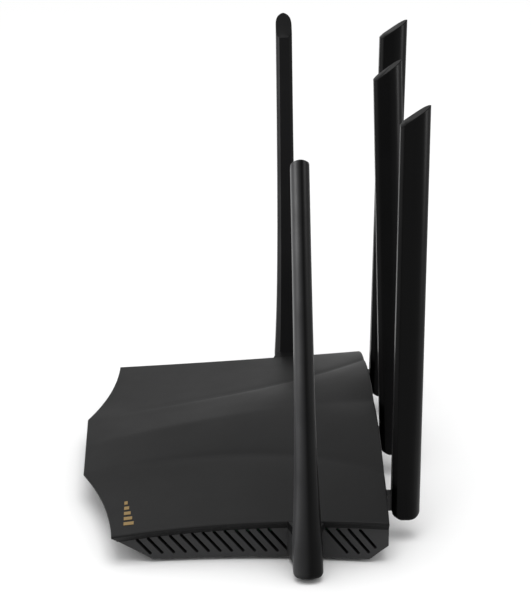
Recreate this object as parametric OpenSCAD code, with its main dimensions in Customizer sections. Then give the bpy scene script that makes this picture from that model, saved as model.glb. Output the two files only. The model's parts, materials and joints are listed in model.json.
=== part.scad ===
// Wireless router: a low wedge-shaped housing under a sculpted cover, with five folding antennas.
// X runs across the router, Y from its front edge to its back, and Z up. The origin is on the
// surface that the feet rest on, below the middle of the whole object. All sizes are millimetres.

/* [Housing] */
// Depth of the housing, from the front edge to the rear wall
body_depth = 126.8; // [118:0.1:150]
// Width of the cover across its rear corners
rear_w = 187.4; // [180:0.1:225]
// How much narrower the cover is across its front corners
front_taper = 5.4; // [0:0.1:10]
// Width of the straight nose in the middle of the front edge
nose_w = 58; // [50:1:70]
// How far the front corners lie behind the nose
nose_len = 13.3; // [10:0.1:18]
// How far each front edge hollows inwards between nose and corner
front_hollow = 2.8; // [1:0.1:4]
// How far each side edge hollows inwards between its corners
side_hollow = 4.2; // [1:0.1:6]
// Wall of the bottom case and of the cover's rear apron
wall = 2; // [1.6:0.1:2.4]
// Gap along the seam between cover and case
seam_gap = 0.15; // [0.1:0.05:0.3]

/* [Cover] */
// Height of the cover's front edge
front_z = 13.6; // [13:0.1:17]
// Height of the cover's rear corners
corner_z = 19.1; // [18:0.1:23]
// Room above the network sockets, up to the two long creases at the rear edge
crease_room = 5.9; // [5:0.1:9]
// Rise of the rear edge from a crease to the middle
centre_rise = 5.7; // [3:0.1:9]
// Distance of each long crease from the middle at the rear edge
crease_out = 62; // [58:0.5:66]
// Swell of the cover between the middle and a crease, at the rear
inner_swell = 3.4; // [0:0.1:5]
// Swell of the cover between a crease and the side, at the rear
outer_swell = 1.2; // [0:0.1:3]
// Thickness of the cover
cover_t = 2.2; // [1.8:0.1:2.6]
// Thickness of the lip along the cover's edge
lip_t = 0.9; // [0.7:0.1:1.2]
// Width of the bevel under the lip
bevel_w = 2.4; // [1.8:0.1:3]
// Height from the cover's edge down to the seat on the case
seat_drop = 3.8; // [3.4:0.1:4.2]
// Width of the seat on the case
seat_w = 2; // [1.6:0.1:2.6]

/* [Case] */
// Height of the underside of the case above the resting surface
floor_z = 1.2; // [1:0.1:2]
// Distance of the front undercut behind the cover's bevel
undercut_in = 1.4; // [0.5:0.1:1.8]
// Lean of the front wall's undercut from vertical, in degrees
undercut = 58; // [50:1:60]
// Height of the chamfer below the rear wall
rear_chamfer_z = 8; // [7:0.1:8.2]
// Slope of that chamfer from horizontal, in degrees
rear_chamfer_a = 41; // [38:1:50]
// Width of a vent slot
vent_w = 1.3; // [1:0.1:1.6]
// Spacing of the vent slots
vent_pitch = 4.5; // [4:0.1:5]
// Lean of the vent slots from horizontal, in degrees
vent_a = 50; // [45:1:60]
// Height of the lower end of the vent slots
vent_low_z = 4; // [3.8:0.1:5]
// Vent slots in front of each side antenna
vents_front = 13; // [8:1:13]
// Vent slots behind each side antenna
vents_rear = 4; // [2:1:4]

/* [Antennas] */
// Length of an antenna, from the hub's end to the tip
antenna_len = 179; // [150:1:200]
// Depth of an antenna's section, from its inner to its outer side
antenna_depth = 12; // [11.5:0.1:13]
// Half the width of the hub
hub_half = 6.15; // [6:0.05:7]
// Half the width of the tip
tip_half = 3.6; // [3.4:0.05:4]
// Length over which the hub's width fades into the blade
flare_len = 40; // [25:1:60]
// Rise of the slanted tip across the antenna's depth
tip_rise = 8.5; // [4:0.5:10]
// Height of the fold axis above the hub's end
pivot_up = 7.2; // [7:0.1:8]
// Gap between the rear wall and the rear antennas
rear_gap = 2.8; // [2.6:0.1:4]
// Height of the rear antennas' swivel axes
rear_neck_z = 16.6; // [16:0.1:17]
// Distance from the cover's side edge out to the side antennas
side_out = 8.62; // [7:0.01:14]
// Distance of the side antennas in front of the rear wall
side_back = 33.7; // [30:0.1:36]
// Height of the side antennas' swivel axes
side_neck_z = 8.7; // [8.5:0.1:9]
// Swing of the left side antenna towards the front, in degrees
swing_left = 0.8; // [-2:0.1:2]
// Swing of the right side antenna towards the front, in degrees
swing_right = 1.4; // [-2:0.1:2]
// Tilt of the left rear antenna away from the housing, in degrees
tilt_left = 0.8; // [-2:0.1:2]
// Tilt of the middle rear antenna away from the housing, in degrees
tilt_centre = -1.8; // [-2:0.1:2]
// Tilt of the right rear antenna away from the housing, in degrees
tilt_right = 0.3; // [-2:0.1:2]
// Half the width of a side antenna's shoulder, where it leaves the housing
shoulder_half = 8; // [6.5:0.1:12]

/* [Hinges] */
// Radius of the swivel neck
neck_r = 3.7; // [3.5:0.05:4]
// Radial clearance of a neck or a pin that turns
running = 0.05; // [0.02:0.01:0.1]
// Play of a neck along its axis
end_play = 0.15; // [0.12:0.01:0.3]
// Radius of the flange that holds the neck in the housing
flange_r = 5.2; // [4.8:0.1:5.4]
// Thickness of that flange
flange_t = 1.5; // [1.2:0.1:2]
// Thickness of the knuckle's tongue
tongue_t = 5; // [4.6:0.1:5.4]
// Gap between tongue and hub on each side
tongue_gap = 0.2; // [0.15:0.05:0.4]
// Gap between the tongue's rounded end and the hub's slot
slot_gap = 0.5; // [0.4:0.05:0.8]
// Radius of the hinge pin
pin_r = 1; // [0.8:0.1:1.2]

/* [Rear panel] */
// Width of a network socket
socket_w = 15.6; // [15.2:0.1:16]
// Height of a network socket
socket_h = 13.4; // [13:0.1:13.6]
// Depth of a network socket
socket_d = 21; // [18:0.5:22]
// Gap between neighbouring network sockets
socket_gap = 0.4; // [0.2:0.1:1]
// Gap between a network socket and the flange of the next swivel
swivel_room = 4; // [2:0.5:6]
// Gap between the outside network socket and the power inlet
inlet_gap = 3.7; // [2:0.1:5]
// Distance from the power inlet to the radio button
wifi_out = 11; // [9:0.5:12]
// Distance from the radio button to the reset button
reset_out = 9; // [8:0.5:10]
// Radius of a button
button_r = 1.6; // [1.4:0.1:2]
// Travel of a button
button_travel = 0.5; // [0.3:0.1:0.8]
// Clearance around sockets and buttons in the wall
panel_gap = 0.2; // [0.15:0.05:0.4]

/* [Board] */
// Gap between the main board and the screw towers beside it
board_gap = 0.3; // [0.3:0.1:4]
// Depth of the main board
board_d = 87; // [80:1:88]
// Height of the underside of the main board
board_z = 7; // [6.8:0.1:7.4]
// Thickness of the main board
board_t = 1.6; // [1:0.1:1.6]

/* [Hidden] */
$fn = 48;
half_nose = nose_w / 2;
half_rear = rear_w / 2;
half_front = half_rear - front_taper / 2;
total_depth = body_depth + rear_gap + antenna_depth;
front_y = -total_depth / 2;
rear_y = front_y + body_depth;
corner_y = front_y + nose_len;
inner_y = rear_y - wall;
side_y = rear_y - side_back;
floor_top = floor_z + wall;
board_top = board_z + board_t;
crease_z = board_top + socket_h + crease_room;
centre_z = crease_z + centre_rise;
board_rear = rear_y - 4.8;
board_front = board_rear - board_d;
seat_in = bevel_w + seat_w;
roof_in = seat_in + 0.8;
tongue_r = neck_r;
tongue_start = 2;
pivot_in = antenna_depth / 2;
socket_pitch = socket_w + socket_gap;
rear_pitch = 3 * socket_w + 2 * socket_gap + 2 * (flange_r + swivel_room);
lan_x = -rear_pitch / 2;
wan_x = flange_r + swivel_room + socket_w / 2;
inlet_w = 9;
inlet_x = wan_x + socket_w / 2 + inlet_gap + inlet_w / 2;
wifi_x = inlet_x + wifi_out;
reset_x = wifi_x + reset_out;
lug_base = half_front - bevel_w - wall - 2;
cover_screws = [[half_front - 12.5, front_y + 34.8], [half_front - 12.5, rear_y - 14]];
tower_top = 6;
tower_r = 4.2;
board_w = 2 * (cover_screws[0][0] - tower_r - board_gap);
pilot_depth = 7.2;
foot_r = 5;
foot_sink = 0.6;
feet = [[half_front - 23, front_y + 42], [half_front - 23, rear_y - 17]];
board_holes = [[board_w / 2 - 5, board_front + 5], [board_w / 2 - 5, board_rear - 12]];
led_count = 5;
led_pitch = 8;
guide_z = front_z - 2.4;
guide_r = 0.7;
button_z = board_top + 3.9;

// ---------- outline of the housing ----------

function arc_r(p, q, sag) = (pow(norm(q - p) / 2, 2) + sag * sag) / (2 * sag);
function arc_c(p, q, sag) =
    (p + q) / 2 + [q[1] - p[1], p[0] - q[0]] / norm(q - p) * (arc_r(p, q, sag) - sag);
nose_p = [half_nose, front_y];
corner_p = [half_front, corner_y];
rear_p = [half_rear, rear_y];
front_c = arc_c(nose_p, corner_p, front_hollow);
front_r = arc_r(nose_p, corner_p, front_hollow);
side_c = arc_c(corner_p, rear_p, side_hollow);
side_r = arc_r(corner_p, rear_p, side_hollow);

function clamp(v) = max(0, min(1, v));
function mix(a, b, t) = a + (b - a) * t;
function front_edge(x) = abs(x) <= half_nose ? front_y
    : front_c[1] + sqrt(pow(front_r, 2) - pow(min(abs(x), half_front) - front_c[0], 2));
function side_edge(y) =
    side_c[0] - sqrt(pow(side_r, 2) - pow(max(y, corner_y) - side_c[1], 2));

// The plan of the housing, drawn in from the sides and from the rear
module plan(inset, rear_inset) {
    difference() {
        translate([-rear_w, front_y + inset])
            square([2 * rear_w, body_depth - inset - rear_inset]);
        for (s = [-1, 1]) {
            translate([s * front_c[0], front_c[1]]) circle(r = front_r + inset, $fn = 180);
            translate([s * side_c[0], side_c[1]]) circle(r = side_r + inset, $fn = 180);
            translate([s > 0 ? half_rear : -2 * rear_w, front_y]) square([rear_w * 1.5, body_depth]);
        }
    }
}

// ---------- sites of the antennas, and the pieces ----------

blade_in = side_edge(side_y) + side_out;
lug_end = blade_in - tongue_start - 0.1;
SITES = [
    ["side_left", [-blade_in, side_y, side_neck_z], 180, -swing_left, 0],
    ["side_right", [blade_in, side_y, side_neck_z], 0, swing_right, 0],
    ["rear_left", [-rear_pitch, rear_y + rear_gap, rear_neck_z], 90, 0, tilt_left],
    ["rear_centre", [0, rear_y + rear_gap, rear_neck_z], 90, 0, tilt_centre],
    ["rear_right", [rear_pitch, rear_y + rear_gap, rear_neck_z], 90, 0, tilt_right]
];
LAN = [for (i = [1:3]) [str("lan_port_", i), lan_x + (i - 2) * socket_pitch]];

// ---------- height of the cover ----------

function climb(v) = 1 - pow(1 - v, 1.7);
function edge_z(y) =
    mix(front_z, corner_z, 1 - pow(1 - clamp((y - corner_y) / (rear_y - corner_y)), 2));
function seat_z(y) = edge_z(y) - seat_drop;
function crease_x(v) = mix(half_nose, crease_out, pow(v, 3));
function arch(t) = 4 * t * (1 - t);
function middle(v, t) =
    mix(mix(front_z, centre_z, climb(v)), mix(front_z, crease_z, climb(v)), t)
    + inner_swell * pow(v, 3) * arch(t);
function wing(v, y, t) =
    mix(mix(front_z, crease_z, climb(v)), edge_z(y), t) + outer_swell * pow(v, 1.5) * arch(t);
function cover_z(x, y) =
    let (v = clamp((y - front_edge(x)) / (rear_y - front_edge(x))), c = crease_x(v))
    abs(x) < c ? middle(v, abs(x) / c) : wing(v, y, clamp((abs(x) - c) / (side_edge(y) - c)));

// The cover as a skin over a grid: rows run across from front to rear, columns follow the creases
mid_cols = 5;
wing_cols = 4;
last_col = mid_cols + wing_cols + 3;
mid_rows = 8;
last_row = mid_rows + 5;
rim = [roof_in, seat_in, bevel_w, 0];
function row_y(r, x) =
    r < 4 ? front_edge(x) + rim[3 - r]
    : r > last_row - 3 ? rear_y - [wall + 0.1, wall, 0][r - last_row + 2]
    : mix(front_edge(x) + roof_in, rear_y - wall - 0.1, (r - 3) / mid_rows);
function col_x(k, r) =
    let (v = (row_y(r, 0) - front_y) / body_depth, e = side_edge(mix(corner_y, rear_y, v)),
         c = crease_x(v))
    k <= mid_cols ? c * k / mid_cols
    : k <= mid_cols + wing_cols ? mix(c, e - roof_in, (k - mid_cols) / wing_cols)
    : e - rim[k - mid_cols - wing_cols];
function grid_xy(k, r) =
    let (x = sign(k) * col_x(abs(k), r)) [x, row_y(r, x)];
function under_z(k, r, p) =
    abs(k) == last_col || r == 0 ? cover_z(p[0], p[1]) - lip_t
    : abs(k) > mid_cols + wing_cols || r < 3 ? seat_z(p[1])
    : r > last_row - 2 ? rear_neck_z
    : cover_z(p[0], p[1]) - cover_t;

module cover_skin() {
    n = 2 * last_col + 1;
    m = last_row + 1;
    top = [for (r = [0:last_row], k = [-last_col:last_col])
        let (p = grid_xy(k, r)) [p[0], p[1], cover_z(p[0], p[1])]];
    under = [for (r = [0:last_row], k = [-last_col:last_col])
        let (p = grid_xy(k, r)) [p[0], p[1], under_z(k, r, p)]];
    function quad(a, b, c, d) = [[a, b, c], [a, c, d]];
    faces = concat(
        [for (r = [0:m - 2], k = [0:n - 2]) let (i = r * n + k)
            each quad(i, i + n, i + n + 1, i + 1)],
        [for (r = [0:m - 2], k = [0:n - 2]) let (i = n * m + r * n + k)
            each quad(i + 1, i + n + 1, i + n, i)],
        [for (k = [0:n - 2]) each quad(n * m + k, k, k + 1, n * m + k + 1)],
        [for (k = [0:n - 2]) let (i = (m - 1) * n + k)
            each quad(n * m + i + 1, i + 1, i, n * m + i)],
        [for (r = [0:m - 2]) let (i = r * n)
            each quad(n * m + i + n, i + n, i, n * m + i)],
        [for (r = [0:m - 2]) let (i = r * n + n - 1)
            each quad(n * m + i, i, i + n, n * m + i + n)]
    );
    polyhedron(points = concat(top, under), faces = faces, convexity = 6);
}

// ---------- shared cutters and features ----------

// Places something at a site: its own X points outwards from the housing, and its origin is on
// the swivel axis at the antenna's inner face
module at_site(s) {
    translate(s[1]) rotate([0, 0, s[2]]) rotate([s[3], 0, 0]) children();
}

// The same for what turns about the fold axis
module at_hinge(s) {
    at_site(s) translate([pivot_in, 0, 0]) rotate([0, s[4], 0]) translate([-pivot_in, 0, 0])
        children();
}

module along_y(x, z, y, len, r) {
    translate([x, y, z]) rotate([-90, 0, 0]) cylinder(r = r, h = len);
}

// The flared boss round each rear neck
boss_len = rear_gap - tongue_start - 0.1;
module rear_bosses() {
    for (x = [-rear_pitch, 0, rear_pitch])
        translate([x, inner_y, rear_neck_z]) rotate([-90, 0, 0]) {
            cylinder(r = 6.5, h = wall);
            translate([0, 0, wall]) cylinder(r1 = 6.5, r2 = 5.2, h = boss_len);
        }
}

module rear_neck_bores() {
    for (x = [-rear_pitch, 0, rear_pitch])
        along_y(x, rear_neck_z, inner_y - 4, wall + rear_gap + 6, neck_r + running);
}

// The shoulders that carry the side antennas' necks, tapered so that the hubs cover their ends
module shoulders(z0, z1, base) {
    tip = neck_r + 1.6;
    translate([0, 0, z0]) linear_extrude(height = z1 - z0)
        for (s = [-1, 1])
            polygon([
                [s * base, side_y - shoulder_half], [s * lug_end, side_y - tip],
                [s * lug_end, side_y + tip], [s * base, side_y + shoulder_half]
            ]);
}

// What the rear panel has to let through
module panel_openings() {
    for (p = concat(LAN, [["wan_port", wan_x]]))
        translate([p[1] - socket_w / 2 - panel_gap, inner_y - 1, board_top - panel_gap])
            cube([socket_w + 2 * panel_gap, wall + 2, socket_h + 2 * panel_gap]);
    translate([inlet_x - inlet_w / 2 - panel_gap, inner_y - 1, board_top - panel_gap])
        cube([inlet_w + 2 * panel_gap, wall + 2, 11 + 2 * panel_gap]);
    for (x = [wifi_x, reset_x])
        along_y(x, button_z, inner_y - 1, wall + 2, button_r + panel_gap / 2);
}

module mirrored(points) {
    for (p = points, s = [-1, 1]) translate([s * p[0], p[1], 0]) children();
}

// Slope of the cover at a point, as the turn that lays a flat piece on it
function lie(x, y) = [
    atan((cover_z(x, y + 1) - cover_z(x, y - 1)) / 2),
    -atan((cover_z(x + 1, y) - cover_z(x - 1, y)) / 2), 0
];

// Five small bars of rising height, let into the cover's front corner
module mark_bars(height) {
    for (i = [0:4]) {
        x = half_front - 29.4 + i * 4.7;
        y = front_y + 19.5;
        translate([x, y, cover_z(x, y)]) rotate(lie(x, y))
            translate([-1.4, -1.3, -0.5]) cube([2.8, 1.4 + 0.7 * i, height]);
    }
}

// ---------- housing ----------

module top_cover() color("#303133") {
    difference() {
        union() {
            cover_skin();
            shoulders(seat_z(side_y + shoulder_half) + 0.1, edge_z(side_y) - 0.3, lug_base + 2);
            cover_bosses();
            intersection() {
                rear_bosses();
                translate([-rear_w / 2, inner_y, rear_neck_z]) cube([rear_w, 20, 20]);
            }
        }
        rear_neck_bores();
        panel_openings();
        mirrored(cover_screws) translate([0, 0, tower_top])
            cylinder(r = 1.15, h = pilot_depth);
        mark_bars(2);
        for (i = [0:led_count - 1])
            along_y((i - (led_count - 1) / 2) * led_pitch, guide_z, front_y - 1, 8, guide_r + 0.1);
    }
}

// Posts that run from the screw towers up into the cover's thickness
module cover_bosses() {
    low = tower_top + seam_gap;
    for (p = cover_screws, s = [-1, 1])
        translate([s * p[0], p[1], low]) cylinder(r = 3, h = cover_z(p[0], p[1]) - 1 - low);
}

// A block as large as the space below a sloping plane, for cutting
module below_plane(tilt, depth) {
    rotate([tilt, 0, 0]) translate([-rear_w, -rear_w, depth - 100])
        cube([2 * rear_w, 2 * rear_w, 100]);
}

// The case's outer form, drawn in all round by a given depth
module case_form(depth) {
    turn = atan(nose_len / (half_front - half_nose));
    difference() {
        translate([0, 0, floor_z + depth]) linear_extrude(height = 30)
            plan(bevel_w + depth, depth);
        translate([0, front_y + bevel_w + undercut_in, front_z - seat_drop])
            below_plane(undercut - 90, depth);
        for (s = [-1, 1])
            translate([s * half_nose, front_y + bevel_w + undercut_in, front_z - seat_drop])
                rotate([0, 0, s * turn]) below_plane(undercut - 90, depth);
        translate([0, rear_y, rear_chamfer_z]) below_plane(rear_chamfer_a, depth);
    }
}

// Everything below the cover's seat
module below_seat() {
    steps = 10;
    rotate([90, 0, 90]) translate([0, 0, -rear_w]) linear_extrude(height = 2 * rear_w)
        polygon(concat(
            [[front_y - 1, 0], [rear_y + 1, 0], [rear_y + 1, seat_z(rear_y) - seam_gap]],
            [for (i = [steps:-1:0]) let (y = mix(corner_y, rear_y, i / steps))
                [y, seat_z(y) - seam_gap]],
            [[front_y - 1, seat_z(front_y) - seam_gap]]
        ));
}

// One vent slot through a side wall, from its upper end at y. It stops above the lower edge of
// the wall, or above the rear chamfer
module vent(y) {
    top = min(seat_z(y), seat_z(side_y)) - 0.6;
    fall = tan(vent_a);
    rise = tan(rear_chamfer_a);
    run = min((top - vent_low_z) / fall,
              (top - rear_chamfer_z - vent_w - 2.3 + (rear_y - y) * rise) / (fall + rise));
    len = run / cos(vent_a);
    translate([half_front - bevel_w - 12, y, top]) rotate([-vent_a, 0, 0]) {
        translate([0, 0, -vent_w / 2]) cube([20, len, vent_w]);
        for (end = [0, len]) translate([0, end, 0]) rotate([0, 90, 0])
            cylinder(d = vent_w, h = 20, $fn = 24);
    }
}

module vents() {
    for (i = [0:vents_front - 1]) vent(side_y - 15.2 - i * vent_pitch);
    for (i = [0:vents_rear - 1]) vent(side_y + 8.2 + i * vent_pitch * 1.03);
}

module bottom_case() color("#37383a") {
    difference() {
        union() {
            difference() {
                intersection() {
                    case_form(0);
                    below_seat();
                }
                case_form(wall);
                for (s = [0, 1]) mirror([s, 0, 0]) vents();
            }
            translate([roof_in + 0.3 - half_rear, inner_y, rear_chamfer_z + 1])
                cube([rear_w - 2 * roof_in - 0.6, wall, rear_neck_z - seam_gap - rear_chamfer_z - 1]);
            intersection() {
                rear_bosses();
                translate([-rear_w / 2, inner_y, 0]) cube([rear_w, 20, rear_neck_z - seam_gap]);
            }
            shoulders(floor_z + 1, seat_z(side_y - shoulder_half) - seam_gap, lug_base);
            mirrored(cover_screws) translate([0, 0, floor_z])
                cylinder(r = tower_r, h = tower_top - floor_z);
            mirrored(board_holes) translate([0, 0, floor_z + 1])
                cylinder(r = 3, h = board_z - floor_z - 1);
        }
        rear_neck_bores();
        panel_openings();
        for (s = [0, 1]) mirror([s, 0, 0])
            translate([lug_base - 5, side_y, side_neck_z]) rotate([0, 90, 0])
                cylinder(r = neck_r + running, h = lug_end - lug_base + 10);
        mirrored(cover_screws) {
            cylinder(r = 2.9, h = 4);
            cylinder(r = 1.6, h = tower_top + 1);
        }
        mirrored(board_holes) translate([0, 0, floor_top]) cylinder(r = 1, h = board_z);
        mirrored(feet) cylinder(r = foot_r + 0.1, h = floor_z + foot_sink);
    }
}

module corner_mark() color("#8d6f3b") mark_bars(0.62);

module rubber_feet() color("#161616")
    mirrored(feet) cylinder(r = foot_r, h = floor_z + foot_sink);

module case_screws() color("#8c8f93")
    mirrored(cover_screws) difference() {
        union() {
            translate([0, 0, 2.3]) cylinder(r = 2.7, h = 1.7);
            translate([0, 0, 3.9]) cylinder(r = 1.3, h = tower_top + pilot_depth - 4.7);
        }
        translate([-0.4, -1.6, 2]) cube([0.8, 3.2, 1.1]);
        translate([-1.6, -0.4, 2]) cube([3.2, 0.8, 1.1]);
    }

// ---------- board and what it carries ----------

module main_board() color("#1f4a35")
    difference() {
        translate([-board_w / 2, board_front, board_z]) cube([board_w, board_d, board_t]);
        mirrored(board_holes) translate([0, 0, board_z - 1]) cylinder(r = 1.5, h = 4);
        for (s = [-1, 1])
            translate([s * board_w / 2 - 4, side_y - 1.5, board_z - 1]) cube([8, 3, 4]);
    }

module board_screws() color("#8c8f93")
    mirrored(board_holes) difference() {
        union() {
            translate([0, 0, board_top]) cylinder(r = 2.5, h = 1.6);
            translate([0, 0, floor_top + 0.5]) cylinder(r = 1.15, h = board_top - floor_top);
        }
        translate([-0.4, -1.6, board_top + 0.8]) cube([0.8, 3.2, 1]);
        translate([-1.6, -0.4, board_top + 0.8]) cube([3.2, 0.8, 1]);
    }

// A pressed tin can that screens the chips under it
module shield_can(x, y, w, d, h) {
    translate([x - w / 2, y - d / 2, board_top]) difference() {
        cube([w, d, h]);
        translate([0.3, 0.3, -1]) cube([w - 0.6, d - 0.6, h + 0.7]);
        for (i = [1:4], j = [1:3]) translate([i * w / 5, j * d / 4, 0]) cylinder(r = 0.7, h = h + 1);
    }
}

radio_x = -34;
radio_y = board_front + 28;
cpu_x = 22;
cpu_y = board_front + 26;
can_h = 3;
module radio_shield() color("#b9bcc0") shield_can(radio_x, radio_y, 46, 34, can_h);
module processor_shield() color("#b9bcc0") shield_can(cpu_x, cpu_y, 34, 30, can_h);
module chip(x, y, w, d, h) translate([x - w / 2, y - d / 2, board_top]) cube([w, d, h]);
module radio_chips() color("#1c1d20") {
    chip(radio_x - 12, radio_y, 9, 9, 1);
    chip(radio_x + 12, radio_y, 9, 9, 1);
}
module processor_chip() color("#1c1d20") chip(cpu_x, cpu_y, 14, 14, 1.4);
module memory_chips() color("#1c1d20") {
    chip(cpu_x + 26, cpu_y - 6, 8, 13, 1.1);
    chip(cpu_x + 26, cpu_y + 10, 6, 8, 1.4);
}
module thermal_pad() color("#8aa0b4")
    translate([cpu_x - 13, cpu_y - 11, board_top + can_h]) cube([26, 22, 0.8]);
module heat_sink() color("#a5a8ab") {
    low = board_top + can_h + 0.8;
    translate([cpu_x - 15, cpu_y - 13, low]) cube([30, 26, 1.8]);
    for (i = [0:6]) translate([cpu_x - 15 + i * 4.8, cpu_y - 13, low]) cube([1.2, 26, 5]);
}

socket_y = rear_y - socket_d;
module magnetics() color("#232427")
    for (p = concat(LAN, [["wan_port", wan_x]])) chip(p[1], socket_y - 6, 13, 7, 5.5);

// The parts of the supply stand beside the outermost sockets
supply_x = lan_x - socket_pitch - socket_w / 2 - 5.2;
module capacitors() color("#26314f")
    for (p = [[inlet_x - 2, 14, 4, 9], [inlet_x + 8, 14, 4, 9], [inlet_x + 18, 14, 3.2, 8],
              [supply_x, 7, 3.2, 7]])
        translate([p[0], board_rear - 12 - p[1], board_top]) cylinder(r = p[2], h = p[3]);

module inductors() color("#4a4d50") {
    for (x = [13, 23]) chip(inlet_x + x, board_rear - 36, 7, 7, 4);
    chip(supply_x, board_rear - 34.5, 6, 6, 3.2);
}

// A network socket: a housing with the plug's cavity and the stepped groove for its latch
module socket(x) {
    difference() {
        translate([x - socket_w / 2, socket_y, board_top]) cube([socket_w, socket_d, socket_h]);
        translate([x - 5.95, rear_y - 14.5, board_top + 4]) cube([11.9, 20, 8.2]);
        translate([x - 3.1, rear_y - 14.5, board_top + 2.3]) cube([6.2, 20, 3]);
        translate([x - 1.7, rear_y - 14.5, board_top + 1.1]) cube([3.4, 20, 3]);
    }
}
module wan_port() color("#1d1e20") socket(wan_x);

// Eight sprung wires in the back of each socket's cavity
module port_contacts() color("#c9a552")
    for (p = concat(LAN, [["wan_port", wan_x]]), i = [0:7])
        translate([p[1] - 3.57 + i * 1.02, rear_y - 14.3, board_top + 9.2])
            rotate([24, 0, 0]) translate([-0.2, 0, 0]) cube([0.4, 5, 0.4]);

module dc_jack() color("#1b1c1e")
    difference() {
        translate([inlet_x - inlet_w / 2, rear_y - 14, board_top]) cube([inlet_w, 14, 11]);
        along_y(inlet_x, board_top + 6.2, rear_y - 9.5, 12, 3.15);
    }
module dc_jack_pin() color("#c4c6c8")
    along_y(inlet_x, board_top + 6.2, rear_y - 9.5, 8.5, 1.05);

switch_y = inner_y - 5;
module button_switches() color("#26272a")
    for (x = [wifi_x, reset_x]) difference() {
        translate([x - 3.1, switch_y - 4, board_top]) cube([6.2, 4, 7]);
        along_y(x, button_z, switch_y - 2.4, 4, 1.1);
    }

// A push button: its stem runs back into the switch, and its flange stops it behind the wall
module button(x) {
    along_y(x, button_z, switch_y - 1.4, 4.2, 1);
    along_y(x, button_z, inner_y - 0.9, 0.85, button_r + 0.8);
    along_y(x, button_z, inner_y - 0.9, wall + 0.9 + button_travel + 0.3, button_r);
    along_y(x, button_z, switch_y + 2, inner_y - switch_y - 2.5, 1.3);
}
module wifi_button() color("#232427") button(wifi_x);
module reset_button() color("#232427") button(reset_x);

module led_chips() color("#d8d9c8")
    for (i = [0:led_count - 1])
        translate([(i - (led_count - 1) / 2) * led_pitch - 1, board_front, board_top])
            cube([2, 1.5, guide_z + 1 - board_top]);

// Clear rods from the lights on the board to the bevel under the nose, on one cross bar
module light_guide() color("#cfd4d6") {
    low = front_y + bevel_w * (front_z - lip_t - guide_z) / (seat_drop - lip_t) + 0.25;
    for (i = [0:led_count - 1])
        along_y((i - (led_count - 1) / 2) * led_pitch, guide_z, low, board_front - low - 0.1, guide_r);
    translate([-(led_count - 1) / 2 * led_pitch, board_front - 16, guide_z - 0.6])
        cube([(led_count - 1) * led_pitch, 3, 1.2]);
}

// ---------- antennas, drawn at a site ----------

rear_reach = rear_gap + wall + end_play + flange_t;
side_reach = blade_in - lug_base + end_play + flange_t;
function reach(s) = abs(s[1][0]) == blade_in ? side_reach : rear_reach;
module along_x(x, len, r) {
    translate([x, 0, 0]) rotate([0, 90, 0]) cylinder(r = r, h = len);
}

module knuckle(s) color("#1c1c1d") at_site(s)
    difference() {
        union() {
            along_x(-reach(s), flange_t, flange_r);
            along_x(-reach(s), reach(s) - tongue_start + 0.25, neck_r);
            translate([-tongue_start, -tongue_t / 2, -tongue_r])
                cube([tongue_start + pivot_in, tongue_t, 2 * tongue_r]);
            translate([pivot_in, tongue_t / 2, 0]) rotate([90, 0, 0])
                cylinder(r = tongue_r, h = tongue_t);
        }
        translate([pivot_in, tongue_t, 0]) rotate([90, 0, 0])
            cylinder(r = pin_r + running, h = 2 * tongue_t);
        along_x(-reach(s) - 1, reach(s) + 3, 0.9);
        translate([2, 0, 0]) cylinder(r = 0.9, h = 10);
    }

module hinge_pin(s) color("#b0b2b4") at_hinge(s)
    translate([pivot_in, 4.6, 0]) rotate([90, 0, 0]) cylinder(r = pin_r, h = 9.2);

// Half the section, as shares of depth and half width, from the inner face to the outer edge
half_section = [[0, 0.62], [0.12, 0.95], [0.22, 1], [0.55, 1], [0.78, 0.86], [0.93, 0.5]];
inner_round = 4.3;
outer_round = 2.5;
end_round = 2;
hub_len = 14;
function rounded(z, r) = z < r ? r - sqrt(r * r - pow(r - z, 2)) : 0;
function width_at(z) =
    mix(tip_half, hub_half, exp(-max(z - hub_len, 0) / flare_len)) - rounded(z, end_round);
function section_point(p, side, z, slant) =
    let (x0 = rounded(z, inner_round), x1 = antenna_depth - rounded(z, outer_round),
         x = mix(x0, x1, p[0]))
    [x, side * p[1] * width_at(z), z - pivot_up - slant * (1 - x / antenna_depth)];
function section_ring(z, slant) = concat(
    [for (p = half_section) section_point(p, -1, z, slant)],
    [section_point([1, 0], 1, z, slant)],
    [for (i = [len(half_section) - 1:-1:0]) section_point(half_section[i], 1, z, slant)]
);
heights = [0, 0.5, 1.3, 2.5, inner_round, hub_len, 24, 36, 52, 75, 105, antenna_len - 15];

module blade_form() {
    rings = concat([for (z = heights) section_ring(z, 0)], [section_ring(antenna_len, tip_rise)]);
    n = len(rings[0]);
    m = len(rings);
    polyhedron(points = [for (ring = rings) each ring], faces = concat(
        [[for (k = [0:n - 1]) k]],
        [for (r = [0:m - 2], k = [0:n - 1]) let (a = r * n + k, b = r * n + (k + 1) % n)
            each [[a, a + n, b + n], [a, b + n, b]]],
        [[for (k = [n - 1:-1:0]) (m - 1) * n + k]]
    ), convexity = 4);
}

cavity_low = 13;
cavity_high = antenna_len - pivot_up - 12;
module sleeve(s) color("#1a1a1b") at_hinge(s)
    difference() {
        blade_form();
        translate([pivot_in, 0, 0]) rotate([90, 0, 0])
            linear_extrude(height = tongue_t + 2 * tongue_gap, center = true) {
                circle(r = tongue_r + slot_gap);
                translate([-20, 0]) square([20, tongue_r + slot_gap]);
                translate([-20, -20]) square([20 + tongue_r + slot_gap, 20.01]);
            }
        translate([pivot_in, 4.6, 0]) rotate([90, 0, 0]) cylinder(r = pin_r, h = 9.2);
        translate([2.2, -2.2, cavity_low]) cube([7, 4.4, cavity_high - cavity_low]);
        translate([5, 0, 0]) cylinder(r = 1, h = cavity_low + 1);
    }

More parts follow.
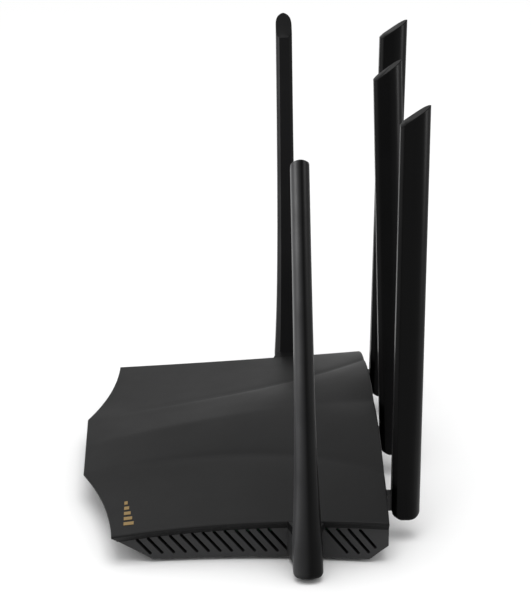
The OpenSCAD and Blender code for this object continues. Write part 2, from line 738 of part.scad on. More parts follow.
radiator_low = 62;
module radiator(s) color("#b08d4a") at_hinge(s) translate([5, 0, radiator_low])
    difference() {
        union() {
            cylinder(r = 1.9, h = 33);
            cylinder(r = 0.6, h = 62);
        }
        translate([0, 0, -1]) cylinder(r = 0.7, h = 33);
    }

module coax(s) color("#3a3226") at_hinge(s)
    translate([5, 0, tongue_r + 0.6]) cylinder(r = 0.65, h = radiator_low + 31 - tongue_r - 0.6);

// Leads from the necks to the board: the rear ones bend down, the side ones lie in notches
module antenna_leads() color("#2b2b2c") {
    lead = 0.65;
    bend = 3;
    start = rear_y + rear_gap - rear_reach - 0.1;
    for (x = [-rear_pitch, 0, rear_pitch]) {
        along_y(x, rear_neck_z, start - 2.5, 2.5, lead);
        translate([x, start - 2.5, rear_neck_z - bend]) rotate([90, 0, -90])
            rotate_extrude(angle = 90) translate([bend, 0]) circle(r = lead);
        translate([x, start - 2.5 - bend, board_top])
            cylinder(r = lead, h = rear_neck_z - bend - board_top);
    }
    for (s = [0, 1]) mirror([s, 0, 0])
        translate([board_w / 2 - 3.9, side_y, side_neck_z]) rotate([0, 90, 0])
            cylinder(r = lead, h = blade_in - side_reach - 0.1 - board_w / 2 + 3.9);
}

top_cover();
bottom_case();
corner_mark();
light_guide();
led_chips();
main_board();
radio_shield();
processor_shield();
thermal_pad();
heat_sink();
radio_chips();
processor_chip();
memory_chips();
magnetics();
capacitors();
inductors();
wan_port();
for (p = LAN) color("#1d1e20") socket(p[1]);
port_contacts();
dc_jack();
dc_jack_pin();
button_switches();
wifi_button();
reset_button();
antenna_leads();
rubber_feet();
case_screws();
board_screws();
for (s = SITES) {
    knuckle(s);
    sleeve(s);
    hinge_pin(s);
    radiator(s);
    coax(s);
}
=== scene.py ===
# %% [markdown]
# # A wireless router with five folding antennas
#
# The router is a low charcoal wedge. Its cover is sculpted like folded cloth, its side walls are
# cut by slanted vents, and five black blade antennas stand round its sides and back.
#
# The mechanical model already exists: every piece that moves or carries something is loaded from
# it and stays where it is. This notebook gives those pieces their finish, and remodels the two
# things that the eye reads first, the cover and the antennas' blades, with smoother surfaces.

# %% Load the mechanical model
import json
import math

import bpy
from mathutils import Matrix, Vector

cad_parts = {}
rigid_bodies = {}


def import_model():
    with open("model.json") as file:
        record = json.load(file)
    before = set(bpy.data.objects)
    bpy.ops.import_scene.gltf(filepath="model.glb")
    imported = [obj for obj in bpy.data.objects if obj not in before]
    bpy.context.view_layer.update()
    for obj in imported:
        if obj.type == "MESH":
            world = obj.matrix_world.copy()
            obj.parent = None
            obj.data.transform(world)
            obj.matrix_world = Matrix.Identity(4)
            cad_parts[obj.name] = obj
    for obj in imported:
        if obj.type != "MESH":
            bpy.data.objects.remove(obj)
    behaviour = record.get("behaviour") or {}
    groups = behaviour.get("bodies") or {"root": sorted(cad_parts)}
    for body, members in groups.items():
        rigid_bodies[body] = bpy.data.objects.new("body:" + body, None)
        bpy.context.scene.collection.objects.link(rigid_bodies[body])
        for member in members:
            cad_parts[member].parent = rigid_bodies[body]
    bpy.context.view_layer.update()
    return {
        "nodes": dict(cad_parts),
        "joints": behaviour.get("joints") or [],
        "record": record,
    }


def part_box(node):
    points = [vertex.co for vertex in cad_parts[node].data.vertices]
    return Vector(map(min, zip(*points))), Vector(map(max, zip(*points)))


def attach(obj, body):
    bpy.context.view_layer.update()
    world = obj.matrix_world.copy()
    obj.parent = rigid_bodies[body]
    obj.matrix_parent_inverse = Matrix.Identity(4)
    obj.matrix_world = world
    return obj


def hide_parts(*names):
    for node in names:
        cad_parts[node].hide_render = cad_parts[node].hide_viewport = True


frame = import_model()
print("pieces in the model:", len(frame["nodes"]))

# %% [markdown]
# The camera comes first, because it decides which surfaces matter most. It looks at the router's
# right-hand side from a metre away, a little above, through a long lens that keeps the antennas
# nearly parallel.

# %% Set up the camera
CAMERA_AT = Vector((1.0445, -0.0247, 0.4806))
CAMERA_TURN = 88.185
CAMERA_DIP = 20.903
LENS = 155.4

camera_data = bpy.data.cameras.new("camera")
camera_data.sensor_width = 36
camera_data.lens = LENS
camera_data.clip_start = 0.01
camera = bpy.data.objects.new("camera", camera_data)
camera.location = CAMERA_AT
camera.rotation_euler = (math.radians(90 - CAMERA_DIP), 0, math.radians(CAMERA_TURN))
bpy.context.scene.collection.objects.link(camera)
bpy.context.scene.camera = camera
print("camera to the middle of the router:", round(CAMERA_AT.length, 3), "m")

# %% [markdown]
# Materials in Blender are graphs of nodes. Wiring them one by one hides what a finish is, so one
# small class lets a finish be written as a formula: adding or multiplying two values adds the
# Math nodes that do it. Its `node` method makes any other kind of node.


# %% A short way to write shader formulas
class Value:
    """A socket of a material's nodes that can be used in sums and products."""

    def __init__(self, tree, socket=None):
        self.tree = tree
        self.socket = socket

    def node(self, kind, settings, inputs, output=0):
        made = self.tree.nodes.new(kind)
        for name, setting in settings.items():
            setattr(made, name, setting)
        for name, given in inputs.items():
            if isinstance(given, Value):
                self.tree.links.new(given.socket, made.inputs[name])
            else:
                made.inputs[name].default_value = given
        return Value(self.tree, made.outputs[output])

    def maths(self, operation, first, second):
        return self.node("ShaderNodeMath", {"operation": operation}, {0: first, 1: second})

    def __add__(self, other):
        return self.maths("ADD", self, other)

    __radd__ = __add__

    def __mul__(self, other):
        return self.maths("MULTIPLY", self, other)

    __rmul__ = __mul__

    def __sub__(self, other):
        return self.maths("SUBTRACT", self, other)

    def __rsub__(self, other):
        return self.maths("SUBTRACT", other, self)


def blend_colours(mask, first, second):
    return mask.node("ShaderNodeMix", {"data_type": "RGBA"}, {0: mask, 6: first, 7: second}, 2)


# %% [markdown]
# Nearly every surface here is moulded, pressed or printed, and differs in a few ways only: its
# colour, how much that colour drifts, how rough it is, how much the roughness drifts, and how
# coarse and deep its grain is. One recipe with those settings makes the whole family. The grain
# is a noise a fraction of a millimetre wide that drives a Bump node, the drift is a noise some
# centimetres wide, and both come from the object's own coordinates, so they move with the piece.


# %% The recipe for a finish
def finish(name, colour, roughness, grain=0.0004, depth=0.00002, drift=0.15, patch=0.02,
           metallic=0.0, coat=0.0, specular=0.5, stretch=(1, 1, 1), rough_drift=0.08, clear=0.0):
    material = bpy.data.materials.new(name)
    material.use_nodes = True
    tree = material.node_tree
    shader = tree.nodes["Principled BSDF"]
    start = Value(tree)
    place = start.node("ShaderNodeTexCoord", {}, {}, "Object")
    stretched = start.node("ShaderNodeVectorMath", {"operation": "MULTIPLY"},
                           {0: place, 1: stretch})
    fine = start.node("ShaderNodeTexNoise", {},
                      {"Vector": stretched, "Scale": 1 / grain, "Detail": 2.0, "Roughness": 0.6})
    wide = start.node("ShaderNodeTexNoise", {},
                      {"Vector": place, "Scale": 1 / patch, "Detail": 3.0, "Roughness": 0.5})
    dark = tuple(c * (1 - drift) for c in colour) + (1,)
    light = tuple(c * (1 + drift) for c in colour) + (1,)
    mask = wide * 0.6 + fine * 0.4
    tone = blend_colours(mask, dark, light)
    bumps = start.node("ShaderNodeBump", {}, {"Strength": 1.0, "Distance": depth, "Height": fine})
    shine = (wide - 0.5) * (2 * rough_drift) + (fine - 0.5) * rough_drift + roughness
    tree.links.new(tone.socket, shader.inputs["Base Color"])
    tree.links.new(shine.socket, shader.inputs["Roughness"])
    tree.links.new(bumps.socket, shader.inputs["Normal"])
    shader.inputs["Metallic"].default_value = metallic
    shader.inputs["Coat Weight"].default_value = coat
    shader.inputs["Coat Roughness"].default_value = 0.15
    shader.inputs["Specular IOR Level"].default_value = specular
    shader.inputs["Transmission Weight"].default_value = clear
    material.diffuse_color = (*colour, 1)
    return material


# %% [markdown]
# The housing is matt charcoal plastic with a fine spark-eroded grain. The antennas are darker and
# smoother, a satin black that shows long soft highlights. The mark on the corner is a thin
# satin gold. Inside there is a green board with tinned shields, black chips and brass contacts.

# %% Finishes of the outside
FINISHES = {
    "cover": finish("cover_plastic", (0.003, 0.003, 0.0031), 0.5, grain=0.00035,
                    depth=0.000012, drift=0.10, patch=0.03, specular=0.17),
    "case": finish("case_plastic", (0.028, 0.028, 0.0286), 0.6, grain=0.0003,
                   depth=0.000014, drift=0.10, patch=0.02, specular=0.2),
    "antenna": finish("antenna_plastic", (0.001, 0.001, 0.00105), 0.34, grain=0.0005,
                      depth=0.000004, drift=0.12, patch=0.02, specular=0.055),
    "knuckle": finish("knuckle_plastic", (0.006, 0.006, 0.0063), 0.4, grain=0.0004,
                      depth=0.000006, drift=0.12, specular=0.35),
    "gold_print": finish("gold_mark", (0.26, 0.17, 0.06), 0.45, grain=0.0002, depth=0.000005,
                         drift=0.10, patch=0.004, metallic=0.6),
    "rubber": finish("foot_rubber", (0.012, 0.012, 0.012), 0.85, grain=0.0006, depth=0.00005,
                     drift=0.25, patch=0.005, specular=0.3),
    "clear_plastic": finish("light_guide_plastic", (0.85, 0.88, 0.9), 0.12, grain=0.001,
                            depth=0.000003, drift=0.03, clear=0.9, rough_drift=0.03),
    "steel": finish("screw_steel", (0.50, 0.51, 0.53), 0.34, grain=0.0003, depth=0.000008,
                    drift=0.12, patch=0.003, metallic=1.0),
}
print("outside finishes:", sorted(FINISHES))

# %% Finishes of the inside
FINISHES.update({
    "led": finish("lamp_body", (0.75, 0.75, 0.6), 0.4, grain=0.0003, depth=0.000003, drift=0.05),
    "board": finish("solder_mask", (0.012, 0.075, 0.04), 0.3, grain=0.0012, depth=0.00002,
                    drift=0.3, patch=0.006, coat=0.3, stretch=(1, 0.15, 1)),
    "tin": finish("tinned_steel", (0.62, 0.63, 0.64), 0.3, grain=0.0006, depth=0.000012,
                  drift=0.08, patch=0.01, metallic=1.0, stretch=(0.1, 1, 1)),
    "chip": finish("chip_epoxy", (0.013, 0.013, 0.015), 0.5, grain=0.0002, depth=0.000008,
                   drift=0.2, patch=0.004),
    "pad": finish("silicone_pad", (0.22, 0.34, 0.46), 0.7, grain=0.0005, depth=0.00002),
    "aluminium": finish("extruded_aluminium", (0.62, 0.62, 0.63), 0.32, grain=0.0004,
                        depth=0.00001, drift=0.06, metallic=1.0, stretch=(1, 0.08, 1)),
    "capacitor": finish("capacitor_sleeve", (0.02, 0.03, 0.09), 0.3, grain=0.0008,
                        depth=0.00001, drift=0.2, patch=0.004),
    "ferrite": finish("ferrite", (0.06, 0.06, 0.065), 0.6, grain=0.0003, depth=0.00002),
    "socket": finish("socket_plastic", (0.016, 0.016, 0.018), 0.38, grain=0.0003,
                     depth=0.00001, drift=0.15, patch=0.006),
    "contact": finish("gold_contact", (0.80, 0.55, 0.20), 0.25, grain=0.0004, depth=0.000004,
                      drift=0.05, metallic=1.0),
    "brass": finish("drawn_brass", (0.60, 0.42, 0.17), 0.32, grain=0.0005, depth=0.00001,
                    drift=0.15, patch=0.006, metallic=1.0, stretch=(1, 1, 0.1)),
    "cable": finish("cable_jacket", (0.02, 0.015, 0.012), 0.45, grain=0.0005, depth=0.00001),
})
print("finishes in all:", len(FINISHES))

# %% [markdown]
# The record of the mechanical model says which finish each piece has, so the finishes are dealt
# out in one loop, and a piece can't be forgotten.

# %% Dress the pieces of the mechanical model
for row in frame["record"]["subparts"]:
    node = frame["nodes"][row["node"]]
    node.data.materials.clear()
    node.data.materials.append(FINISHES[row["material_slot"]])

# %% [markdown]
# The two new surfaces are drawn in millimetres, as the real ones are on their drawings, and
# turned into metres when their mesh is made. Both are closed skins over rows of points, so one
# helper joins the rows, and one cuts holes with Blender's exact Boolean.

# %% Helpers that make and cut meshes
MM = 0.001


def mesh_from(name, points, faces):
    mesh = bpy.data.meshes.new(name)
    mesh.from_pydata([Vector(p) * MM for p in points], [], faces)
    mesh.validate()
    piece = bpy.data.objects.new(name, mesh)
    bpy.context.scene.collection.objects.link(piece)
    return piece


def block(low, high):
    x, y, z = zip(low, high)
    corners = [(x[i], y[j], z[k]) for i in (0, 1) for j in (0, 1) for k in (0, 1)]
    sides = [(0, 1, 3, 2), (4, 6, 7, 5), (0, 4, 5, 1), (2, 3, 7, 6), (0, 2, 6, 4), (1, 5, 7, 3)]
    return mesh_from("block", corners, sides)


def rod(start, end, radius, end_radius=None, sides=48):
    """A round bar or cone between two points."""
    start, end = Vector(start), Vector(end)
    turn = (end - start).to_track_quat("Z", "Y")
    points = []
    for centre, r in ((start, radius), (end, radius if end_radius is None else end_radius)):
        for i in range(sides):
            a = 2 * math.pi * i / sides
            points.append(centre + turn @ Vector((r * math.cos(a), r * math.sin(a), 0)))
    faces = [(i, (i + 1) % sides, sides + (i + 1) % sides, sides + i) for i in range(sides)]
    faces += [tuple(reversed(range(sides))), tuple(range(sides, 2 * sides))]
    return mesh_from("rod", points, faces)


def combine(piece, tools, operation):
    """Cuts the tools out of a piece, or joins them to it, and throws the tools away."""
    group = bpy.data.collections.new("tools")
    for tool in tools:
        group.objects.link(tool)
    step = piece.modifiers.new("combine", "BOOLEAN")
    step.operation = operation
    step.operand_type = "COLLECTION"
    step.collection = group
    step.solver = "EXACT"
    bpy.context.view_layer.update()
    finished = bpy.data.meshes.new_from_object(
        piece.evaluated_get(bpy.context.evaluated_depsgraph_get()))
    piece.modifiers.clear()
    old = piece.data
    piece.data = finished
    bpy.data.meshes.remove(old)
    for tool in tools:
        bpy.data.objects.remove(tool)
    bpy.data.collections.remove(group)
    return piece


def shade(piece, material, body, angle=32):
    """Gives a finished piece its material, soft shading up to an angle, and its body."""
    piece.data.materials.clear()
    piece.data.materials.append(material)
    for face in piece.data.polygons:
        face.material_index = 0
    piece.data.shade_smooth()
    piece.data.set_sharp_from_angle(angle=math.radians(angle))
    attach(piece, body)
    print(piece.name, "has", len(piece.data.polygons), "faces")


# %% [markdown]
# The cover's outline is straight at the nose, hollow along the two front edges and slightly
# hollow along the sides. Its height climbs fast behind the front edge and levels out towards the
# back. Two long creases start at the nose's corners and flare out to the rear edge, and between
# them the surface swells, so that the middle of the rear edge stands highest. A shallow groove
# pinches each crease, deepest near the rear edge.

# %% Outline of the housing
FRONT = -70.8
DEPTH = 126.8
REAR = FRONT + DEPTH
HALF_NOSE = 29
HALF_FRONT = 91
HALF_REAR = 93.7
CORNER = FRONT + 13.3
SIDE_ANTENNA = REAR - 33.7
WALL = 2


def mix(a, b, t):
    return a + (b - a) * t


def clamp(v):
    return max(0.0, min(1.0, v))


def arc_through(p, q, sag):
    """Centre and radius of an arc from p to q that hollows the edge by its sag."""
    p, q = Vector(p), Vector(q)
    chord = q - p
    radius = ((chord.length / 2) ** 2 + sag * sag) / (2 * sag)
    across = Vector((chord.y, -chord.x)).normalized()
    return (p + q) / 2 + across * (radius - sag), radius


front_centre, front_radius = arc_through((HALF_NOSE, FRONT), (HALF_FRONT, CORNER), 2.8)
side_centre, side_radius = arc_through((HALF_FRONT, CORNER), (HALF_REAR, REAR), 4.2)


def front_edge(x):
    if abs(x) <= HALF_NOSE:
        return FRONT
    along = min(abs(x), HALF_FRONT) - front_centre.x
    return front_centre.y + math.sqrt(front_radius ** 2 - along ** 2)


def side_edge(y):
    return side_centre.x - math.sqrt(side_radius ** 2 - (max(y, CORNER) - side_centre.y) ** 2)


print("width at the side antennas:", round(2 * side_edge(SIDE_ANTENNA), 1), "mm")

# %% Height of the cover
FRONT_Z, CORNER_Z, CREASE_Z, CENTRE_Z = 13.6, 19.1, 27.9, 33.6
CREASE_OUT = 62
PINCH, PINCH_W = 0.3, 2.4
SWELL_INNER, SWELL_OUTER = 3.4, 1.2


def climb(v):
    return 1 - (1 - v) ** 1.7


def edge_z(y):
    return mix(FRONT_Z, CORNER_Z, 1 - (1 - clamp((y - CORNER) / (REAR - CORNER))) ** 2)


def crease_x(v):
    return mix(HALF_NOSE, CREASE_OUT, v ** 3)


def arch(t):
    return 4 * t * (1 - t)


def cover_z(x, y):
    v = clamp((y - front_edge(x)) / (REAR - front_edge(x)))
    crease = crease_x(v)
    on_crease = mix(FRONT_Z, CREASE_Z, climb(v))
    if abs(x) < crease:
        t = abs(x) / crease
        middle = mix(FRONT_Z, CENTRE_Z, climb(v))
        return mix(middle, on_crease, t) + SWELL_INNER * v ** 3 * arch(t)
    t = clamp((abs(x) - crease) / (side_edge(y) - crease))
    return mix(on_crease, edge_z(y), t) + SWELL_OUTER * v ** 1.5 * arch(t)


SOFTEN = (-1.4, -0.7, 0.0, 0.7, 1.4)


def soft_z(x, y):
    """The cover's height with its creases slightly rolled, and pinched in a shallow groove."""
    v = clamp((y - front_edge(x)) / (REAR - front_edge(x)))
    beside = (abs(x) - crease_x(v)) / PINCH_W
    pinch = PINCH * arch(clamp(v * 1.2) / 2) * math.exp(-beside * beside)
    return sum(cover_z(x + step, y) for step in SOFTEN) / len(SOFTEN) - pinch


print("height at the middle of the rear edge:", round(soft_z(0, REAR), 1), "mm")

# %% [markdown]
# The cover is a skin over a grid of points that follows the outline and the creases, so no edge
# of the mesh runs across a crease at a slant. Close to the outline the rows crowd together, to
# roll the edge over a small radius. Below the edge there is a thin lip, then a bevel that runs
# inwards to the case, and behind it the hollow inside.

# %% Grid of the cover
LIP, BEVEL, SEAT_DROP, SEAT_W, COVER_T = 0.9, 2.4, 3.8, 2.0, 2.2
NECK_Z = 16.6
ROLL = 0.45
ROOF_IN = BEVEL + SEAT_W + 0.8
RIM = [ROOF_IN, BEVEL + SEAT_W, BEVEL, 1.2, 0.45, 0.26, 0.12, 0.03, 0]
REAR_RIM = [WALL + 0.1, WALL, 0.9, 0.45, 0.26, 0.12, 0.03, 0]
MID_COLUMNS, WING_COLUMNS, MID_ROWS = 22, 16, 64
LAST_COLUMN = MID_COLUMNS + WING_COLUMNS + len(RIM) - 1
LAST_ROW = len(RIM) - 1 + MID_ROWS + len(REAR_RIM) - 1


def row_y(row, x):
    from_rear = LAST_ROW - row
    if row < len(RIM):
        return front_edge(x) + RIM[len(RIM) - 1 - row]
    if from_rear < len(REAR_RIM):
        return REAR - REAR_RIM[len(REAR_RIM) - 1 - from_rear]
    part = (row - len(RIM) + 1) / MID_ROWS
    return mix(front_edge(x) + ROOF_IN, REAR - REAR_RIM[0], part)


def column_x(column, row):
    v = (row_y(row, 0) - FRONT) / DEPTH
    edge = side_edge(mix(CORNER, REAR, v))
    crease = crease_x(v)
    if column <= MID_COLUMNS:
        return crease * column / MID_COLUMNS
    if column <= MID_COLUMNS + WING_COLUMNS:
        return mix(crease, edge - ROOF_IN, (column - MID_COLUMNS) / WING_COLUMNS)
    return edge - RIM[column - MID_COLUMNS - WING_COLUMNS]


def grid_point(column, row):
    x = math.copysign(column_x(abs(column), row), column)
    return x, row_y(row, x)


def rim_distance(column, row):
    """How far in from the front and side outline a point of the grid lies, up to the roof."""
    side = RIM[abs(column) - MID_COLUMNS - WING_COLUMNS] \
        if abs(column) > MID_COLUMNS + WING_COLUMNS else ROOF_IN
    front = RIM[len(RIM) - 1 - row] if row < len(RIM) else ROOF_IN
    return min(side, front)


def rear_distance(row):
    from_rear = LAST_ROW - row
    return REAR_RIM[len(REAR_RIM) - 1 - from_rear] if from_rear < len(REAR_RIM) else ROOF_IN


def rolled(distance):
    """How far a rounded edge falls, by the distance in from it."""
    if distance >= ROLL:
        return 0
    return ROLL - math.sqrt(ROLL ** 2 - (ROLL - distance) ** 2)


def top_z(column, row, x, y):
    return soft_z(x, y) - rolled(min(rim_distance(column, row), rear_distance(row)))


def under_z(column, row, x, y):
    inside = rim_distance(column, row)
    seat = edge_z(y) - SEAT_DROP
    if inside <= BEVEL:
        return mix(cover_z(x, y) - LIP, seat, inside / BEVEL)
    if inside < ROOF_IN:
        return seat
    if rear_distance(row) <= WALL:
        return NECK_Z
    return cover_z(x, y) - COVER_T


# %% Make the cover's skin
columns = range(-LAST_COLUMN, LAST_COLUMN + 1)
across = len(columns)
rows = LAST_ROW + 1
top, under = [], []
for row in range(rows):
    for column in columns:
        x, y = grid_point(column, row)
        top.append((x, y, top_z(column, row, x, y)))
        under.append((x, y, under_z(column, row, x, y)))
skin = []
base = rows * across
for row in range(rows - 1):
    for i in range(row * across, row * across + across - 1):
        skin.append((i, i + 1, i + across + 1, i + across))
        skin.append((base + i, base + i + across, base + i + across + 1, base + i + 1))
for i in range(across - 1):
    last = base - across + i
    skin.append((i, base + i, base + i + 1, i + 1))
    skin.append((last, last + 1, base + last + 1, base + last))
for row in range(rows - 1):
    i = row * across
    j = i + across - 1
    skin.append((i, i + across, base + i + across, base + i))
    skin.append((j, base + j, base + j + across, j + across))
cover = mesh_from("cover", top + under, skin)
print("points in the cover's grid:", len(top) + len(under))

# %% [markdown]
# The shoulders carry the side antennas' necks, and the rear bosses carry the others. They are
# joined to the skin, then the sockets, buttons, necks, screw holes and lights are cut out.
# Cutting with solids keeps the cover one closed shell, as the moulding is.


# %% Join the shoulders, bosses and screw posts
SHOULDER_HALF, SHOULDER_TIP = 8, 5.3


def shoulder(side, low, high):
    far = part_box("bottom_case")[1].x / MM
    near = HALF_FRONT - BEVEL - WALL
    y = SIDE_ANTENNA
    outline = [(near, y - SHOULDER_HALF), (far, y - SHOULDER_TIP), (far, y + SHOULDER_TIP),
               (near, y + SHOULDER_HALF)]
    points = [(side * px, py, z) for z in (low, high) for px, py in outline]
    n = len(outline)
    faces = [(i, (i + 1) % n, n + (i + 1) % n, n + i) for i in range(n)]
    faces += [tuple(reversed(range(n))), tuple(range(n, 2 * n))]
    if side < 0:
        faces = [tuple(reversed(face)) for face in faces]
    return mesh_from("shoulder", points, faces)


REAR_NECKS = [(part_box(name)[0].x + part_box(name)[1].x) / 2 / MM
              for name in ("knuckle_rear_left", "knuckle_rear_centre", "knuckle_rear_right")]
SCREWS = [(side * (HALF_FRONT - 12.5), y) for side in (-1, 1)
          for y in (FRONT + 34.8, REAR - 14)]
POST_FOOT, POST_R = 6.15, 3
BOSS_R, BOSS_TIP_R, BOSS_OUT, BOSS_ROOM = 6.5, 5.2, 0.7, 9
additions = [shoulder(side, edge_z(SIDE_ANTENNA + SHOULDER_HALF) - SEAT_DROP + 0.1,
                      edge_z(SIDE_ANTENNA) - 0.3) for side in (-1, 1)]
for x in REAR_NECKS:
    boss = rod((x, REAR - WALL, NECK_Z), (x, REAR, NECK_Z), BOSS_R)
    tip = rod((x, REAR - 0.001, NECK_Z), (x, REAR + BOSS_OUT, NECK_Z), BOSS_R, BOSS_TIP_R)
    combine(boss, [tip], "UNION")
    below = block((x - BOSS_ROOM, REAR - 5, NECK_Z - BOSS_ROOM), (x + BOSS_ROOM, REAR + 5, NECK_Z))
    additions.append(combine(boss, [below], "DIFFERENCE"))
for x, y in SCREWS:
    additions.append(rod((x, y, POST_FOOT), (x, y, cover_z(x, y) - 1), POST_R, sides=32))
combine(cover, additions, "UNION")
print("joined", len(additions), "features to the cover")

# %% Cut the openings
NECK_BORE, BUTTON_BORE, PANEL_GAP = 3.75, 1.7, 0.2
PILOT_R, PILOT_TOP = 1.15, 13.2
LIGHT_R, LIGHT_PITCH, LIGHT_DROP = 0.8, 8, 2.4
cuts = [rod((x, REAR - 8, NECK_Z), (x, REAR + 8, NECK_Z), NECK_BORE) for x in REAR_NECKS]
for name in ("lan_port_1", "lan_port_2", "lan_port_3", "wan_port", "dc_jack"):
    low, high = (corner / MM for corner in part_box(name))
    cuts.append(block((low.x - PANEL_GAP, REAR - WALL - 1, low.z - PANEL_GAP),
                      (high.x + PANEL_GAP, REAR + 1, high.z + PANEL_GAP)))
for name in ("wifi_button", "reset_button"):
    low, high = (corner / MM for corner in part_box(name))
    middle = (low + high) / 2
    cuts.append(rod((middle.x, REAR - WALL - 1, middle.z), (middle.x, REAR + 1, middle.z),
                    BUTTON_BORE))
for x, y in SCREWS:
    cuts.append(rod((x, y, 5), (x, y, PILOT_TOP), PILOT_R, sides=24))
light_z = FRONT_Z - LIGHT_DROP
for x in [(i - 2) * LIGHT_PITCH for i in range(5)]:
    cuts.append(rod((x, FRONT - 1, light_z), (x, FRONT + 7, light_z), LIGHT_R, sides=24))
combine(cover, cuts, "DIFFERENCE")
print("cut", len(cuts), "openings")

# %% Finish the cover
shade(cover, FINISHES["cover"], "chassis")
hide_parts("top_cover")

# %% [markdown]
# An antenna's blade is 12 mm deep and narrow. Its section has a flat narrow inner face, two
# nearly flat sides, and an outer side that curves to a blunt edge. From the hub, which is wide
# enough for its hinge, the blade narrows to the tip, and the tip is cut off at a slant. The
# section's points are joined by a smooth curve that keeps the two inner corners crisp.

# %% Section of a blade
BLADE_LEN, BLADE_DEPTH = 179, 12
HUB_HALF, TIP_HALF, HUB_LEN, FLARE = 6.15, 3.6, 14, 40
PIVOT_UP, TIP_RISE = 7.2, 8.5
INNER_ROUND, OUTER_ROUND, END_ROUND = 4.3, 2.5, 2
SECTION = [(0, 0.62), (0.12, 0.95), (0.22, 1), (0.55, 1), (0.78, 0.86), (0.93, 0.5), (1, 0)]


def smooth_curve(points, steps):
    """A curve through the points, which starts and ends on the first and the last."""
    mirrored_end = [(points[-2][0], -points[-2][1])]
    padded = [points[0]] + points + mirrored_end
    curve = []
    for p0, p1, p2, p3 in zip(padded, padded[1:], padded[2:], padded[3:]):
        for i in range(steps):
            t = i / steps
            curve.append(tuple(0.5 * (2 * b + (c - a) * t + (2 * a - 5 * b + 4 * c - d) * t ** 2
                                      + (3 * b - a - 3 * c + d) * t ** 3)
                               for a, b, c, d in zip(p0, p1, p2, p3)))
    return curve


half = [(max(0, p), min(1, w)) for p, w in smooth_curve(SECTION, 5)]
around = [(p, -w) for p, w in half] + [(1, 0)] + [(p, w) for p, w in reversed(half)]
print("points round a blade:", len(around))


def rounded(z, radius):
    return radius - math.sqrt(radius ** 2 - (radius - z) ** 2) if z < radius else 0


def half_width(z):
    flare = math.exp(-max(z - HUB_LEN, 0) / FLARE)
    return mix(TIP_HALF, HUB_HALF, flare) - rounded(z, END_ROUND)


def blade_ring(z, slant, shrink=0.0):
    low = rounded(z, INNER_ROUND) + shrink
    high = BLADE_DEPTH - rounded(z, OUTER_ROUND) - shrink
    ring = []
    for p, w in around:
        x = mix(low, high, p)
        ring.append((x, w * (half_width(z) - shrink),
                     z - PIVOT_UP - slant * (1 - x / BLADE_DEPTH)))
    return ring


# %% [markdown]
# The blade is lofted through rings from the hub's end to the tip. Then the slot for the
# knuckle's tongue is cut through the hub, open towards the housing and downwards, so that the
# blade can fold, and the pin's hole and the hollow for the radiator are cut as well.

# %% Make one blade
TIP_START, TIP_DROP, TIP_BEVEL, LONG_RINGS = 15, 0.3, 0.35, 26
TONGUE_R, SLOT_HALF, PIVOT_IN = 4.2, 2.7, 6
PIN_R, PIN_HALF = 1, 4.6
heights = [END_ROUND * (1 - math.cos(math.radians(a))) for a in (0, 20, 38, 55, 72, 90)]
heights += [2.6, 3.4, 4.3, 7, 10, HUB_LEN]
heights += [HUB_LEN + (BLADE_LEN - TIP_START - HUB_LEN) * (i / LONG_RINGS) ** 1.5
            for i in range(1, LONG_RINGS + 1)]
rings = [blade_ring(z, 0) for z in heights]
cut_edge = [(x, y, z - TIP_DROP) for x, y, z in blade_ring(BLADE_LEN, TIP_RISE)]
rings += [cut_edge, blade_ring(BLADE_LEN, TIP_RISE, TIP_BEVEL)]
n = len(around)
blade_points = [point for ring in rings for point in ring]
blade_faces = [(r * n + k, r * n + (k + 1) % n, (r + 1) * n + (k + 1) % n, (r + 1) * n + k)
               for r in range(len(rings) - 1) for k in range(n)]
blade_faces += [tuple(reversed(range(n))), tuple(range(len(blade_points) - n, len(blade_points)))]


def slot_cutters():
    """The tongue's slot in three pieces, the pin's hole, the radiator's hollow and its way in."""
    return [rod((PIVOT_IN, -SLOT_HALF, 0), (PIVOT_IN, SLOT_HALF, 0), TONGUE_R),
            block((-20, -SLOT_HALF, 0), (PIVOT_IN, SLOT_HALF, TONGUE_R)),
            block((-20, -SLOT_HALF, -20), (PIVOT_IN + TONGUE_R, SLOT_HALF, 0.01)),
            rod((PIVOT_IN, -PIN_HALF, 0), (PIVOT_IN, PIN_HALF, 0), PIN_R, sides=32),
            block((2.2, -2.2, 13), (9.2, 2.2, BLADE_LEN - PIVOT_UP - 12)),
            rod((5, 0, 0), (5, 0, 14), 1, sides=24)]


master = mesh_from("blade", blade_points, blade_faces)
combine(master, slot_cutters(), "DIFFERENCE")

# %% [markdown]
# Nobody sets five antennas exactly upright. Each has its own small lean: the side ones swing a
# little towards the front, the middle one tilts towards the housing, and the outer rear ones
# tilt away. A blade is placed by its swivel joint, turned about that, then about its fold axis.

# %% Set the blade at the five places
SWING = {"side_left": -0.8, "side_right": 1.4}
TILT = {"rear_left": 0.8, "rear_centre": -1.8, "rear_right": 0.3}
joints = {joint["name"]: joint for joint in frame["joints"]}
to_pivot = Matrix.Translation((PIVOT_IN * MM, 0, 0))
for place in ("side_left", "side_right", "rear_left", "rear_centre", "rear_right"):
    swivel = joints["swivel_" + place]
    outwards = math.atan2(swivel["axis"][1], swivel["axis"][0])
    swing = Matrix.Rotation(math.radians(SWING.get(place, 0)), 4, "X")
    tilt = Matrix.Rotation(math.radians(TILT.get(place, 0)), 4, "Y")
    mesh = master.data.copy()
    mesh.transform(Matrix.Translation(swivel["pos_m"]) @ Matrix.Rotation(outwards, 4, "Z")
                   @ swing @ to_pivot @ tilt @ to_pivot.inverted())
    blade = bpy.data.objects.new("blade_" + place, mesh)
    bpy.context.scene.collection.objects.link(blade)
    shade(blade, FINISHES["antenna"], "antenna_" + place, 30)
    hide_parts("sleeve_" + place)
bpy.data.objects.remove(master)

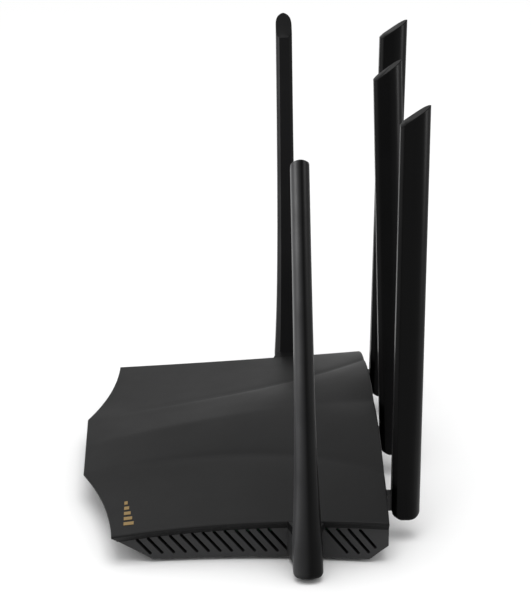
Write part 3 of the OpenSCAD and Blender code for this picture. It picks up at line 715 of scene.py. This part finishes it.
# %% [markdown]
# The router stands on a plain pale floor. The surround is an even soft white that gets brighter
# overhead, and one broad lamp above adds to it. The black blades would look flat in that, so a few
# strip lamps draw long highlights down them. Those lamps light the blades only.

# %% Floor
FLOOR_REACH, FLOOR_Z = 6.0, -0.0003
corners = [(x * FLOOR_REACH, y * FLOOR_REACH, FLOOR_Z)
           for x, y in ((-1, -1), (1, -1), (1, 1), (-1, 1))]
floor_mesh = bpy.data.meshes.new("floor")
floor_mesh.from_pydata(corners, [], [(0, 1, 2, 3)])
floor = bpy.data.objects.new("floor", floor_mesh)
bpy.context.scene.collection.objects.link(floor)
floor_mesh.materials.append(finish("pale_floor", (0.86, 0.86, 0.86), 0.9, grain=0.002,
                                   depth=0.0, drift=0.01, patch=0.5, specular=0.1))
print("floor:", 2 * FLOOR_REACH, "m across")


# %% Lamps
def lamp(name, at, target, width, height, power):
    data = bpy.data.lights.new(name, "AREA")
    data.shape = "RECTANGLE"
    data.size = width
    data.size_y = height
    data.energy = power
    holder = bpy.data.objects.new(name, data)
    holder.location = at
    holder.rotation_euler = (Vector(target) - Vector(at)).to_track_quat("-Z", "Y").to_euler()
    bpy.context.scene.collection.objects.link(holder)
    return holder


lamp("top_lamp", (0.5, 0.0, 1.6), (-0.1, 0, 0), 1.0, 1.0, 12)
BLADES_MIDDLE = (0.1, 0, 0.1)
for name, wanted, at, size, power in (
        ("near_strip", "blade_side_right", (0.25, -0.9, 0.28), (0.25, 0.4), 290),
        ("far_strip", "blade_side_left", (0.25, -0.9, 0.28), (0.25, 0.4), 130),
        ("nose_strip", "blade_rear", (0.25, -0.9, 0.22), (0.25, 0.4), 10),
        ("rear_strip", "blade_", (0.35, 0.8, 0.15), (0.25, 0.4), 14)):
    lit = bpy.data.collections.new(name + "_lights")
    for piece in bpy.context.scene.objects:
        if piece.name.startswith(wanted):
            lit.objects.link(piece)
    strip = lamp(name, at, BLADES_MIDDLE, *size, power)
    strip.light_linking.receiver_collection = lit

# %% Surround
world = bpy.data.worlds.new("studio")
bpy.context.scene.world = world
world.use_nodes = True
sky = world.node_tree.nodes["Background"]
sky.inputs["Color"].default_value = (1, 1, 1, 1)
start = Value(world.node_tree)
aim = start.node("ShaderNodeTexCoord", {}, {}, "Generated")
height = start.node("ShaderNodeSeparateXYZ", {}, {"Vector": aim}, "Z")
AT_HORIZON, OVERHEAD = 0.52, 1.2
glow = start.node("ShaderNodeMapRange", {}, {"Value": height, "From Min": 0.0, "From Max": 1.0,
                                             "To Min": AT_HORIZON, "To Max": OVERHEAD})
world.node_tree.links.new(glow.socket, sky.inputs["Strength"])
bpy.context.scene.view_settings.view_transform = "Standard"
print("surround:", AT_HORIZON, "at the horizon and", OVERHEAD, "overhead")
